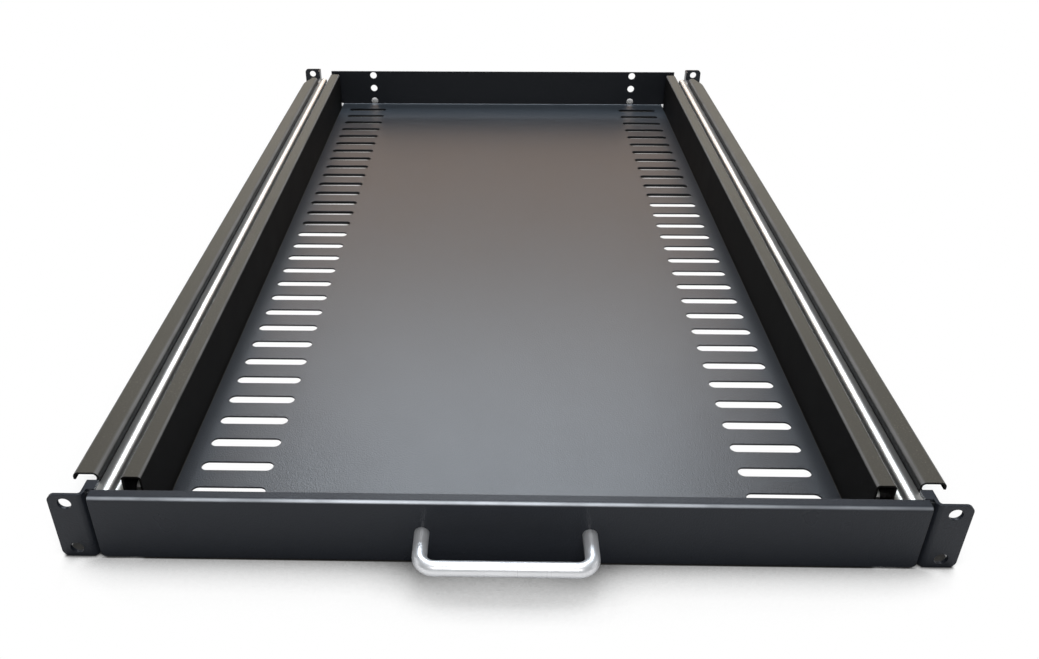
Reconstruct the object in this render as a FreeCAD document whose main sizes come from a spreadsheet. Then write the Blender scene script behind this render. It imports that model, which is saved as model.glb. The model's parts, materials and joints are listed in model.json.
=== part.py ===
import FreeCAD, Part
import Sketcher
import math
import os
import re

# Sliding rack shelf, one rack unit high: a slotted steel tray on two full-extension ball slides.
# +X is right seen from the front, +Y runs to the back of the rack, +Z is up. The origin is the
# centre of the four front ear holes, on the plane where the ears meet the rack posts.

# Driving dimensions in millimetres
SIZES = [
    # rack ears
    ("ear_span", 482.6),
    ("ear_height", 43.66),
    ("ear_sheet", 2.0),
    ("ear_corner", 4.0),
    ("ear_bend", 1.5),
    ("ear_hole", 7.4),
    ("ear_reach", 19.4),
    ("hole_edge", 8.75),
    ("hole_pitch", 31.75),
    ("mount_depth", 748.3),
    ("leg_height", 28.0),
    ("leg_relief", 10.3),
    ("ear_tab", 4.4),
    ("ear_tab_gap", 0.5),
    ("front_leg", 72.0),
    ("rear_leg", 195.0),
    # outer rails
    ("rail_height", 42.5),
    ("rail_sheet", 1.2),
    ("rail_bend", 2.0),
    ("rail_flange", 14.0),
    ("rail_lip", 4.8),
    ("rail_front", 16.5),
    ("rail_rear_gap", 32.0),
    ("rail_nip_long", 24.0),
    ("rail_nip_wide", 8.0),
    # studs in the rails and their nuts
    ("stud_size", 5.0),
    ("stud_length", 9.5),
    ("stud_nut_flats", 8.0),
    ("stud_nut_thick", 4.0),
    ("front_stud_first", 28.0),
    ("front_stud_pitch", 28.0),
    ("rear_stud_margin", 41.3),
    ("rear_stud_pitch", 70.0),
    ("studs_per_leg", 2),
    ("leg_slot_margin", 18.0),
    # ball slides
    ("slide_thick", 12.7),
    ("slide_height", 35.0),
    ("slide_sheet", 1.2),
    ("slide_front", 7.3),
    ("slide_rear_gap", 22.8),
    ("slide_overlap", 18.2),
    ("ball_size", 4.0),
    ("race_gap", 0.3),
    ("inner_race_inset", 4.0),
    ("middle_end_gap", 1.5),
    ("shelf_length", 0.2),
    ("crown_turn", 25.0),
    ("hook_turn", 15.0),
    ("cup_turn", 42.0),
    ("cage_sheet", 0.5),
    ("cage_gap", 0.3),
    ("cage_margin", 15.0),
    ("cage_end", 15.0),
    ("ball_pitch", 56.0),
    ("balls_per_row", 6),
    ("bumper_length", 6.5),
    ("bumper_height", 16.0),
    ("bumper_thick", 4.0),
    # tray
    ("tray_top", 20.2),
    ("tray_depth", 39.4),
    ("tray_rear_gap", 7.7),
    ("tray_sheet", 1.2),
    ("tray_bend", 1.0),
    ("channel_width", 11.0),
    ("channel_front", 14.9),
    ("channel_rear_gap", 8.0),
    ("channel_foot", 10.0),
    ("skirt_height", 36.0),
    ("front_wall", 33.0),
    ("rear_wall_rise", 1.5),
    ("slot_length", 44.2),
    ("slot_width", 8.0),
    ("slot_pitch", 22.4),
    ("slot_first", 24.7),
    ("slot_rear", 21.0),
    ("slot_edge", 11.8),
    ("rear_hole", 8.0),
    ("rear_hole_edge", 40.0),
    ("rear_hole_pitch", 15.875),
    # front panel and handle
    ("panel_end_gap", 2.65),
    ("panel_height", 42.0),
    ("panel_lift", 0.67),
    ("panel_stand", 3.7),
    ("panel_sheet", 1.5),
    ("panel_bend", 0.8),
    ("panel_flange", 6.5),
    ("panel_corner", 2.5),
    ("handle_rod", 8.0),
    ("handle_span", 88.9),
    ("handle_reach", 24.5),
    ("handle_bend", 8.0),
    ("handle_lift", 0.2),
    ("handle_thread", 9.0),
    # small screws of the slides and the handle
    ("screw_size", 4.0),
    ("screw_head", 7.5),
    ("screw_head_thick", 2.2),
    ("nut_flats", 7.0),
    ("nut_thick", 3.2),
    ("washer_size", 9.5),
    ("washer_thick", 0.8),
    ("inner_screw_front", 15.4),
    ("inner_screw_rear", 35.2),
    ("outer_screw_front", 40.0),
    ("outer_screw_rear", 31.3),
    ("screws_per_slide", 3),
    ("fit_gap", 0.1),
]

# Sizes and places worked out from the driving dimensions
PLACES = [
    # faces across the rack: ear, rail, slide and tray, from the outside in
    ("hole_span", "ear_span - 2 * hole_edge"),
    ("rail_back_face", "ear_span / 2 - ear_reach"),
    ("leg_back_face", "rail_back_face + ear_sheet"),
    ("rail_face", "rail_back_face - rail_sheet"),
    ("rail_edge", "rail_face + rail_flange"),
    ("half_tray", "rail_face - slide_thick"),
    ("half_rail", "rail_height / 2"),
    ("half_leg", "leg_height / 2"),
    ("half_ear", "ear_height / 2"),
    # lengths, all from the depth between the front and the rear posts
    ("rail_end", "mount_depth - rail_rear_gap"),
    ("rail_length", "rail_end - rail_front"),
    ("rear_leg_tip", "mount_depth - rear_leg"),
    ("rear_stud_first", "rail_end - rear_stud_margin - rear_stud_pitch * (studs_per_leg - 1)"),
    ("slide_end", "mount_depth - slide_rear_gap"),
    ("slide_length", "slide_end - slide_front"),
    ("slide_travel", "slide_length - slide_overlap"),
    ("tray_back", "mount_depth - tray_rear_gap"),
    ("channel_end", "tray_back - channel_rear_gap"),
    ("inner_screw_first", "channel_front + inner_screw_front"),
    ("inner_screw_pitch", "(slide_end - inner_screw_rear - inner_screw_first) / (screws_per_slide - 1)"),
    ("outer_screw_first", "front_leg + outer_screw_front"),
    ("outer_screw_pitch", "(rear_leg_tip - outer_screw_rear - outer_screw_first) / (screws_per_slide - 1)"),
    ("race", "ball_size / 2 + race_gap"),
    ("race_back", "race + slide_sheet"),
    # web faces and ball centres of the slide sections, across from the tray's centre
    ("outer_web", "rail_face - slide_sheet"),
    ("middle_web_back", "outer_web - 2 * cage_gap - cage_sheet"),
    ("middle_web", "middle_web_back - slide_sheet"),
    ("inner_web_back", "half_tray + slide_sheet"),
    ("cup_reach", "sqrt(race_back^2 - (race * sin(cup_turn) + slide_sheet)^2)"),
    ("outer_ball_x", "middle_web - shelf_length - cup_reach"),
    ("outer_ball_z", "slide_height / 2 - race_back"),
    ("inner_ball_x", "half_tray + inner_race_inset"),
    ("ball_step_x", "outer_ball_x - inner_ball_x"),
    ("ball_step_z", "sqrt((race + race_back)^2 - ball_step_x^2)"),
    ("inner_ball_z", "outer_ball_z - ball_step_z"),
    ("ess_turn", "atan2(ball_step_z; ball_step_x) / 1"),
    # slopes and flat shelves between each web and its race
    ("outer_slope_top", "outer_ball_z + race_back * cos(crown_turn)"
     " - (rail_face - outer_ball_x - race_back * sin(crown_turn)) * tan(crown_turn)"),
    ("outer_slope_low", "outer_ball_z + race * cos(crown_turn)"
     " - (outer_web - outer_ball_x - race * sin(crown_turn)) * tan(crown_turn)"),
    ("middle_shelf", "outer_ball_z - race * sin(cup_turn)"),
    ("middle_shelf_low", "middle_shelf - slide_sheet"),
    ("inner_shelf", "inner_ball_z - race * sin(cup_turn)"),
    ("inner_shelf_low", "inner_shelf - slide_sheet"),
    ("middle_front", "slide_front + middle_end_gap"),
    ("middle_end", "slide_end - bumper_length - cage_gap"),
    ("cage_front", "slide_front + slide_travel / 4 + cage_margin"),
    ("cage_length", "ball_pitch * (balls_per_row - 1) + 2 * cage_end"),
    ("ball_first", "cage_front + cage_end"),
    # tray faces
    ("wall_face", "half_tray - channel_width"),
    ("wall_back", "wall_face + tray_sheet"),
    ("skirt_face", "half_tray - tray_sheet"),
    ("floor_top", "tray_top - tray_depth"),
    ("floor_low", "floor_top - tray_sheet"),
    ("foot_low", "floor_low - tray_sheet"),
    ("half_floor", "wall_face - tray_bend"),
    ("rear_wall_back", "tray_back + tray_sheet"),
    ("rear_wall_top", "tray_top + rear_wall_rise"),
    ("rear_hole_x", "wall_face - rear_hole_edge"),
    ("rear_hole_low", "floor_top + rear_hole / 2 + fit_gap"),
    ("slot_x", "wall_face - slot_edge - slot_length / 2"),
    ("slot_count", "floor((tray_back - slot_rear - slot_first) / slot_pitch) + 1"),
    # panel faces
    ("half_panel", "rail_back_face - panel_end_gap"),
    ("panel_back", "panel_sheet - panel_stand"),
    ("panel_top", "panel_lift + panel_height / 2"),
    ("panel_low", "panel_lift - panel_height / 2"),
    ("front_wall_back", "panel_back + tray_sheet"),
    ("ear_tab_front", "panel_flange - panel_stand + ear_tab_gap"),
    ("handle_x", "handle_span / 2"),
    ("handle_bar", "-panel_stand - handle_reach"),
    ("screw_bore", "screw_size / 2 + fit_gap"),
    ("stud_bore", "stud_size / 2 + fit_gap"),
]

# Places nearer than this are taken as the same
NEAR = 1e-4

doc = FreeCAD.newDocument("sliding_rack_shelf")
dims = doc.addObject("Spreadsheet::Sheet", "dims")
places = doc.addObject("Spreadsheet::Sheet", "places")
owners = {alias: "dims" for alias, value in SIZES}
owners.update({alias: "places" for alias, formula in PLACES})


# An expression in plain size names, with the sheet of each name put in front of it
def bind(formula):
    return re.sub(r"[a-z_]{3,}[a-z]", lambda word: qualified(word.group(0)), str(formula))


def qualified(word):
    return f"{owners[word]}.{word}" if word in owners else word


def fill_sheets():
    for row, (alias, value) in enumerate(SIZES, start=1):
        dims.set(f"A{row}", alias)
        dims.set(f"B{row}", str(value))
        dims.setAlias(f"B{row}", alias)
    doc.recompute()
    for row, (alias, formula) in enumerate(PLACES, start=1):
        places.set(f"A{row}", alias)
        places.set(f"B{row}", "=" + bind(formula))
        places.setAlias(f"B{row}", alias)
    doc.recompute()


# The present value of an expression
def size(formula):
    value = dims.evalExpression(bind(formula))
    return float(getattr(value, "Value", value))


def new_body(label):
    body = doc.addObject("PartDesign::Body", label)
    body.Label = label
    return body


def origin_part(body, role):
    return next(part for part in body.Origin.OriginFeatures if part.Role == role)


# An empty sketch on one of the body's planes; lift moves it along the plane's normal
def new_sketch(body, name, plane, lift="0"):
    sketch = body.newObject("Sketcher::SketchObject", name)
    sketch.AttachmentSupport = (origin_part(body, plane), [""])
    sketch.MapMode = "FlatFace"
    sketch.setExpression("AttachmentOffset.Base.z", bind(lift))
    return sketch


def fix(sketch, kind, geometry, point, formula):
    constraint = Sketcher.Constraint(kind, -1, 1, geometry, point, size(formula))
    index = sketch.addConstraint(constraint)
    sketch.setExpression(f"Constraints[{index}]", bind(formula))


def fix_point(sketch, geometry, point, across, up):
    for kind, formula, axis in (("DistanceX", across, -2), ("DistanceY", up, -1)):
        if formula == "0":
            sketch.addConstraint(Sketcher.Constraint("PointOnObject", geometry, point, axis))
        else:
            fix(sketch, kind, geometry, point, formula)


# A closed outline. Each corner is (across, up); a corner that starts an arc adds the arc's
# centre and the way it turns: (across, up, centre across, centre up, "left" or "right").
def draw_outline(sketch, corners):
    spots = [FreeCAD.Vector(size(corner[0]), size(corner[1]), 0) for corner in corners]
    ends = []
    for index, corner in enumerate(corners):
        start = spots[index]
        finish = spots[(index + 1) % len(spots)]
        if len(corner) == 2:
            geometry = sketch.addGeometry(Part.LineSegment(start, finish))
            ends.append((geometry, 1, 2))
            continue
        centre = FreeCAD.Vector(size(corner[2]), size(corner[3]), 0)
        circle = Part.Circle(centre, FreeCAD.Vector(0, 0, 1), (start - centre).Length)
        turns = [math.atan2(spot.y - centre.y, spot.x - centre.x) for spot in (start, finish)]
        if corner[4] == "left":
            geometry = sketch.addGeometry(Part.ArcOfCircle(circle, turns[0], turns[1]))
            ends.append((geometry, 1, 2))
        else:
            geometry = sketch.addGeometry(Part.ArcOfCircle(circle, turns[1], turns[0]))
            ends.append((geometry, 2, 1))
        level = abs(finish.x - start.x) > abs(finish.y - start.y)
        if level:
            fix(sketch, "DistanceY", geometry, 3, corner[3])
        else:
            fix(sketch, "DistanceX", geometry, 3, corner[2])
    for index, corner in enumerate(corners):
        geometry, first, last = ends[index]
        following = ends[(index + 1) % len(ends)]
        sketch.addConstraint(Sketcher.Constraint("Coincident", geometry, last, following[0], following[1]))
        fix_point(sketch, geometry, first, corner[0], corner[1])


def draw_circle(sketch, across, up, diameter):
    centre = FreeCAD.Vector(size(across), size(up), 0)
    circle = Part.Circle(centre, FreeCAD.Vector(0, 0, 1), size(diameter) / 2)
    geometry = sketch.addGeometry(circle)
    fix_point(sketch, geometry, 3, across, up)
    index = sketch.addConstraint(Sketcher.Constraint("Diameter", geometry, size(diameter)))
    sketch.setExpression(f"Constraints[{index}]", bind(diameter))


def rectangle(low_across, low_up, high_across, high_up):
    return [(low_across, low_up), (high_across, low_up), (high_across, high_up), (low_across, high_up)]


# A slot with round ends, its length along the sketch's first axis
def slot_outline(across, up, length, width):
    reach = f"({length} - {width}) / 2"
    left, right = f"{across} - {reach}", f"{across} + {reach}"
    low, high = f"{up} - {width} / 2", f"{up} + {width} / 2"
    return [(left, low), (right, low, right, up, "left"), (right, high), (left, high, left, up, "left")]


# The outline of a bent sheet. The path follows one face of the sheet in steps along the two axes,
# and the sheet's thickness lies on the left of the path. Bends are concentric arcs.
def bent_sheet(path, sheet, bend):
    spots = [(size(across), size(up)) for across, up in path]
    steps = []
    for (x0, y0), (x1, y1) in zip(spots, spots[1:]):
        steps.append((sign(x1 - x0), sign(y1 - y0)))
    face, back = [path[0]], [shifted(path[0], [(left_of(steps[0]), sheet)])]
    for corner, into, out in zip(path[1:-1], steps, steps[1:]):
        left_turn = left_of(into) == out
        face_bend = f"({bend} + {sheet})" if left_turn else bend
        back_bend = bend if left_turn else f"({bend} + {sheet})"
        turn, counter = ("left", "right") if left_turn else ("right", "left")
        behind = shifted(corner, [(left_of(into), sheet), (left_of(out), sheet)])
        centre = shifted(corner, [(reverse(into), face_bend), (out, face_bend)])
        face.append(shifted(corner, [(reverse(into), face_bend)]) + centre + (turn,))
        face.append(shifted(corner, [(out, face_bend)]))
        back.append(shifted(behind, [(reverse(into), back_bend)]))
        back.append(shifted(behind, [(out, back_bend)]) + centre + (counter,))
    face.append(path[-1])
    back.append(shifted(path[-1], [(left_of(steps[-1]), sheet)]))
    return face + back[::-1]


def sign(value):
    return (value > NEAR) - (value < -NEAR)


def left_of(step):
    return (-step[1], step[0])


def reverse(step):
    return (-step[0], -step[1])


def shifted(point, moves):
    across, up = point[0], point[1]
    for step, distance in moves:
        across += f" + {distance}" if step[0] > 0 else f" - {distance}" if step[0] < 0 else ""
        up += f" + {distance}" if step[1] > 0 else f" - {distance}" if step[1] < 0 else ""
    return (across, up)


def add_pad(body, sketch, length, reversed_side=False, centred=False):
    pad = body.newObject("PartDesign::Pad", sketch.Name + "_pad")
    pad.Profile = sketch
    pad.setExpression("Length", bind(length))
    pad.Reversed = reversed_side
    pad.Midplane = centred
    doc.recompute()
    return pad


def add_pocket(body, sketch, depth, reversed_side=False):
    before = body.Shape.Volume
    pocket = body.newObject("PartDesign::Pocket", sketch.Name + "_cut")
    pocket.Profile = sketch
    pocket.setExpression("Length", bind(depth))
    pocket.Reversed = reversed_side
    doc.recompute()
    if body.Shape.Volume > before - NEAR:
        raise RuntimeError(f"{body.Label}: {sketch.Name} cuts nothing")
    return pocket


# Copies of a feature along one of the body's axes
def add_row(body, feature, axis, pitch, count):
    row = body.newObject("PartDesign::LinearPattern", feature.Name + "_row")
    row.Originals = [feature]
    row.Direction = (origin_part(body, axis), [""])
    row.setExpression("Length", bind(f"({pitch}) * ({count} - 1)"))
    row.setExpression("Occurrences", bind(count))
    body.Tip = row
    doc.recompute()
    return row


# Rounds the straight edges that run along one axis and pass through the given spots
def round_edges(body, axis, spots, radius):
    base = body.Tip
    names = []
    for index, edge in enumerate(base.Shape.Edges, start=1):
        middle = edge.BoundBox.Center
        flat = [middle.x, middle.y, middle.z]
        spans = [edge.BoundBox.XLength, edge.BoundBox.YLength, edge.BoundBox.ZLength]
        if sum(spans) - spans["xyz".index(axis)] > NEAR:
            continue
        del flat["xyz".index(axis)]
        for spot in spots:
            if all(abs(value - size(formula)) < NEAR for value, formula in zip(flat, spot)):
                names.append(f"Edge{index}")
    fillet = body.newObject("PartDesign::Fillet", body.Label + "_round")
    fillet.Base = (base, names)
    fillet.setExpression("Radius", bind(radius))
    doc.recompute()
    return fillet


# The left-hand twin of a right-hand piece
def mirrored(source, label):
    twin = doc.addObject("Part::Mirroring", label)
    twin.Source = source
    twin.Base = FreeCAD.Vector(0, 0, 0)
    twin.Normal = FreeCAD.Vector(1, 0, 0)
    twin.Label = label
    return twin


# One node for a row of small pieces on the right and its mirror on the left
def both_sides(source, label):
    pair = doc.addObject("Part::Compound", label)
    pair.Links = [source, mirrored(source, "left_" + label)]
    pair.Label = label
    return pair


# Holes along Y through a sheet that stands in the YZ plane
def bore_row(body, name, start, depth, first, pitch, count, radius):
    sketch = new_sketch(body, name, "YZ_Plane", start)
    draw_circle(sketch, first, "0", f"2 * ({radius})")
    pocket = add_pocket(body, sketch, depth, True)
    return add_row(body, pocket, "Y_Axis", pitch, count)


def make_rail():
    body = new_body("right_rail")
    lip_end = "half_rail - rail_lip"
    path = [
        ("rail_edge", lip_end),
        ("rail_edge", "half_rail"),
        ("rail_face", "half_rail"),
        ("rail_face", "-half_rail"),
        ("rail_edge", "-half_rail"),
        ("rail_edge", "-(" + lip_end + ")"),
    ]
    sketch = new_sketch(body, "rail_section", "XZ_Plane", "-rail_front")
    draw_outline(sketch, bent_sheet(path, "rail_sheet", "rail_bend"))
    add_pad(body, sketch, "rail_length", True)
    # the rear outer corner is nipped off so that the rail slips past the rear post
    nip = new_sketch(body, "rail_nip", "XY_Plane", "-half_rail - fit_gap")
    reach = "rail_edge + fit_gap"
    draw_outline(nip, [
        (reach, "rail_end - rail_nip_long"),
        (reach, "rail_end + fit_gap"),
        ("rail_edge - rail_nip_wide", "rail_end + fit_gap"),
    ])
    add_pocket(body, nip, "rail_height + 2 * fit_gap", True)
    web = "rail_sheet + 2 * fit_gap"
    start = "rail_face - fit_gap"
    bore_row(body, "front_stud_bores", start, web, "front_stud_first", "front_stud_pitch",
             "studs_per_leg", "stud_bore")
    bore_row(body, "rear_stud_bores", start, web, "rear_stud_first", "rear_stud_pitch",
             "studs_per_leg", "stud_bore")
    bore_row(body, "slide_screw_bores", start, web, "outer_screw_first", "outer_screw_pitch",
             "screws_per_slide", "screw_bore")
    return body


# An L-shaped ear: the leg lies on the rail's web and the ear stands across the rack post
def make_ear(label, ear_face, leg_tip, turn):
    body = new_body(label)
    ear_edge = "ear_span / 2"
    path = [("rail_back_face", leg_tip), ("rail_back_face", ear_face), (ear_edge, ear_face)]
    if turn == "rear":
        path = path[::-1]
    sketch = new_sketch(body, label + "_plan", "XY_Plane")
    draw_outline(sketch, bent_sheet(path, "ear_sheet", "ear_bend"))
    add_pad(body, sketch, "ear_height", centred=True)
    # the leg is lower than the ear, to lie between the rail's flanges
    way = "+" if turn == "front" else "-"
    relief_start = f"{ear_face} {way} (ear_sheet + leg_relief)"
    relief_end = f"{leg_tip} {way} fit_gap"
    relief = new_sketch(body, label + "_relief", "YZ_Plane", "rail_back_face - fit_gap")
    ends = [relief_start, relief_end] if turn == "front" else [relief_end, relief_start]
    draw_outline(relief, rectangle(ends[0], "half_leg", ends[1], "half_ear + fit_gap"))
    draw_outline(relief, rectangle(ends[0], "-half_ear - fit_gap", ends[1], "-half_leg"))
    add_pocket(body, relief, "ear_sheet + 2 * fit_gap", True)
    return body


def finish_ear(body, ear_low):
    holes = new_sketch(body, body.Label + "_holes", "XZ_Plane", f"-({ear_low} - fit_gap)")
    for up in ("hole_pitch / 2", "-hole_pitch / 2"):
        draw_circle(holes, "hole_span / 2", up, "ear_hole")
    add_pocket(body, holes, "ear_sheet + 2 * fit_gap")
    corners = [("ear_span / 2", "half_ear"), ("ear_span / 2", "-half_ear")]
    round_edges(body, "y", corners, "ear_corner")


def make_front_ear():
    body = make_ear("right_front_ear", "-ear_sheet", "front_leg", "front")
    # the leg's top is folded in over the slide's front end
    tab = new_sketch(body, "ear_tab_section", "XZ_Plane", "-ear_tab_front")
    inner = "rail_back_face - ear_tab"
    draw_outline(tab, rectangle(inner, "half_ear - ear_sheet", "leg_back_face", "half_ear"))
    add_pad(body, tab, "leg_relief - ear_tab_front", True)
    bore_row(body, "front_leg_bores", "rail_back_face - fit_gap", "ear_sheet + 2 * fit_gap",
             "front_stud_first", "front_stud_pitch", "studs_per_leg", "stud_bore")
    finish_ear(body, "-ear_sheet")
    return body


def make_rear_ear():
    body = make_ear("right_rear_ear", "mount_depth + ear_sheet", "rear_leg_tip", "rear")
    # one long slot takes both studs, so the depth can be set to the rack
    reach = "rear_stud_pitch * (studs_per_leg - 1)"
    middle = f"rear_stud_first + {reach} / 2"
    length = f"{reach} + stud_size + 2 * leg_slot_margin"
    sketch = new_sketch(body, "leg_slot", "YZ_Plane", "rail_back_face - fit_gap")
    draw_outline(sketch, slot_outline(middle, "0", f"({length})", "(2 * stud_bore)"))
    add_pocket(body, sketch, "ear_sheet + 2 * fit_gap", True)
    finish_ear(body, "mount_depth")
    return body


# Studs pressed into the rail's web, flush on the slide's side
def make_studs(label, first, pitch):
    body = new_body("right_" + label)
    sketch = new_sketch(body, label + "_round", "YZ_Plane", "rail_face")
    draw_circle(sketch, first, "0", "stud_size")
    pad = add_pad(body, sketch, "stud_length")
    add_row(body, pad, "Y_Axis", pitch, "studs_per_leg")
    return both_sides(body, label)


# Hexagon nuts in a row, each seated on the face at the given place
def make_nuts(label, seat, thick, flats, bore, first, pitch, count):
    body = new_body("right_" + label)
    sketch = new_sketch(body, label + "_hexagon", "YZ_Plane", seat)
    half, tip = f"{flats} / 2", f"{flats} / sqrt(3)"
    draw_outline(sketch, [
        (first, f"-{tip}"),
        (f"{first} + {half}", f"-{tip} / 2"),
        (f"{first} + {half}", f"{tip} / 2"),
        (first, tip),
        (f"{first} - {half}", f"{tip} / 2"),
        (f"{first} - {half}", f"-{tip} / 2"),
    ])
    draw_circle(sketch, first, "0", f"2 * ({bore})")
    pad = add_pad(body, sketch, thick)
    add_row(body, pad, "Y_Axis", pitch, count)
    return both_sides(body, label)


# A turned piece about an axis along X at the given place; the outline is (along X, radius)
def turned_row(label, corners, first, pitch, count):
    body = new_body("right_" + label)
    sketch = new_sketch(body, label + "_half", "XY_Plane")
    draw_outline(sketch, [(along, f"{first} + ({radius})") for along, radius in corners])
    axis = sketch.addGeometry(Part.LineSegment(
        FreeCAD.Vector(0, size(first), 0), FreeCAD.Vector(size("rail_face"), size(first), 0)), True)
    fix_point(sketch, axis, 1, "0", first)
    fix_point(sketch, axis, 2, "rail_face", first)
    turned = body.newObject("PartDesign::Revolution", label + "_turned")
    turned.Profile = sketch
    turned.ReferenceAxis = (sketch, ["Axis0"])
    turned.Angle = 360
    doc.recompute()
    add_row(body, turned, "Y_Axis", pitch, count)
    return body


# Section of the fixed member: web on the rail, and hooked races over and under the balls
def outer_section():
    hook = "hook_turn"
    crown = "crown_turn"
    upper = [
        ("rail_face", "outer_slope_top"),
        (f"outer_ball_x + race_back * sin({crown})", f"outer_ball_z + race_back * cos({crown})",
         "outer_ball_x", "outer_ball_z", "left"),
        (f"outer_ball_x - race_back * cos({hook})", f"outer_ball_z - race_back * sin({hook})"),
        (f"outer_ball_x - race * cos({hook})", f"outer_ball_z - race * sin({hook})",
         "outer_ball_x", "outer_ball_z", "right"),
        (f"outer_ball_x + race * sin({crown})", f"outer_ball_z + race * cos({crown})"),
        ("outer_web", "outer_slope_low"),
    ]
    return upper + mirrored_section(upper)


# Section of the middle member: each edge is an S that runs under the outer balls, over the inner ones
def middle_section():
    hook = "hook_turn"
    join = "ess_turn"
    upper = [
        ("middle_web_back", "middle_shelf"),
        ("outer_ball_x + race * cos(cup_turn)", "middle_shelf", "outer_ball_x", "outer_ball_z", "right"),
        (f"outer_ball_x - race * cos({join})", f"outer_ball_z - race * sin({join})",
         "inner_ball_x", "inner_ball_z", "left"),
        (f"inner_ball_x - race_back * cos({hook})", f"inner_ball_z - race_back * sin({hook})"),
        (f"inner_ball_x - race * cos({hook})", f"inner_ball_z - race * sin({hook})",
         "inner_ball_x", "inner_ball_z", "right"),
        (f"inner_ball_x + race * cos({join})", f"inner_ball_z + race * sin({join})",
         "outer_ball_x", "outer_ball_z", "left"),
        ("outer_ball_x + cup_reach", "middle_shelf_low"),
        ("middle_web", "middle_shelf_low"),
    ]
    return upper + mirrored_section(upper)


# Section of the tray's member: web on the tray's skirt, and a cupped edge under each inner ball
def inner_section():
    tip = "cup_turn"
    upper = [
        ("inner_web_back", "inner_shelf_low"),
        ("inner_ball_x - cup_reach", "inner_shelf_low",
         "inner_ball_x", "inner_ball_z", "left"),
        (f"inner_ball_x + race_back * cos({tip})", f"inner_ball_z - race_back * sin({tip})"),
        (f"inner_ball_x + race * cos({tip})", f"inner_ball_z - race * sin({tip})",
         "inner_ball_x", "inner_ball_z", "right"),
        ("inner_ball_x - race * cos(cup_turn)", "inner_shelf"),
        ("half_tray", "inner_shelf"),
    ]
    return upper + mirrored_section(upper)


# The same corners below the middle line, in the order that closes the outline
def mirrored_section(upper):
    lower = []
    for index in range(len(upper) - 1, -1, -1):
        corner = (upper[index][0], f"-({upper[index][1]})")
        if index > 0 and len(upper[index - 1]) == 5:
            arc = upper[index - 1]
            corner += (arc[2], f"-({arc[3]})", arc[4])
        lower.append(corner)
    return lower


def make_member(label, section, front, length):
    body = new_body(label)
    sketch = new_sketch(body, label + "_section", "XZ_Plane", f"-({front})")
    draw_outline(sketch, section)
    add_pad(body, sketch, length, True)
    return body


# A ball cage: a thin U whose flanges have a round pocket for every ball
def make_cage(label, web, tip, level, pocket_x):
    body = new_body(label)
    back = f"{web} + cage_sheet"
    sketch = new_sketch(body, label + "_section", "XZ_Plane", "-cage_front")
    draw_outline(sketch, [
        (back, level), (tip, level), (tip, f"{level} - cage_sheet"), (web, f"{level} - cage_sheet"),
        (web, f"-({level} - cage_sheet)"), (tip, f"-({level} - cage_sheet)"), (tip, f"-({level})"),
        (back, f"-({level})"),
    ])
    add_pad(body, sketch, "cage_length", True)
    pockets = new_sketch(body, label + "_pocket", "XY_Plane", f"-({level}) - fit_gap")
    draw_circle(pockets, pocket_x, "ball_first", "2 * race")
    cut = add_pocket(body, pockets, f"2 * ({level} + fit_gap)", True)
    add_row(body, cut, "Y_Axis", "ball_pitch", "balls_per_row")
    return body


# Two rows of steel balls, above and below the middle line
def make_balls(label, ball_x, ball_z):
    body = new_body(label)
    sketch = new_sketch(body, label + "_half", "YZ_Plane", ball_x)
    radius = "ball_size / 2"
    draw_outline(sketch, [
        (f"ball_first - {radius}", ball_z),
        (f"ball_first + {radius}", ball_z, "ball_first", ball_z, "left"),
    ])
    turned = body.newObject("PartDesign::Revolution", label + "_turned")
    turned.Profile = sketch
    axis = sketch.addGeometry(Part.LineSegment(
        FreeCAD.Vector(size("ball_first"), size(ball_z), 0),
        FreeCAD.Vector(size("ball_first") + 1, size(ball_z), 0)), True)
    fix_point(sketch, axis, 1, "ball_first", ball_z)
    fix_point(sketch, axis, 2, "ball_first + ball_size", ball_z)
    turned.ReferenceAxis = (sketch, ["Axis0"])
    turned.Angle = 360
    doc.recompute()
    add_row(body, turned, "Y_Axis", "ball_pitch", "balls_per_row")
    lower = doc.addObject("Part::Mirroring", label + "_lower")
    lower.Source = body
    lower.Normal = FreeCAD.Vector(0, 0, 1)
    pair = doc.addObject("Part::Compound", label + "_rows")
    pair.Links = [body, lower]
    return pair


# A rubber stop on the fixed member's web, behind the middle member
def make_bumper():
    body = new_body("right_bumper")
    sketch = new_sketch(body, "bumper_face", "XZ_Plane", "-(slide_end - bumper_length)")
    low = "outer_web - bumper_thick"
    draw_outline(sketch, rectangle(low, "-bumper_height / 2", "outer_web", "bumper_height / 2"))
    add_pad(body, sketch, "bumper_length", True)
    ends = [(low, "bumper_height / 2"), (low, "-bumper_height / 2")]
    round_edges(body, "y", ends, "bumper_thick / 4")
    return body


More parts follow.
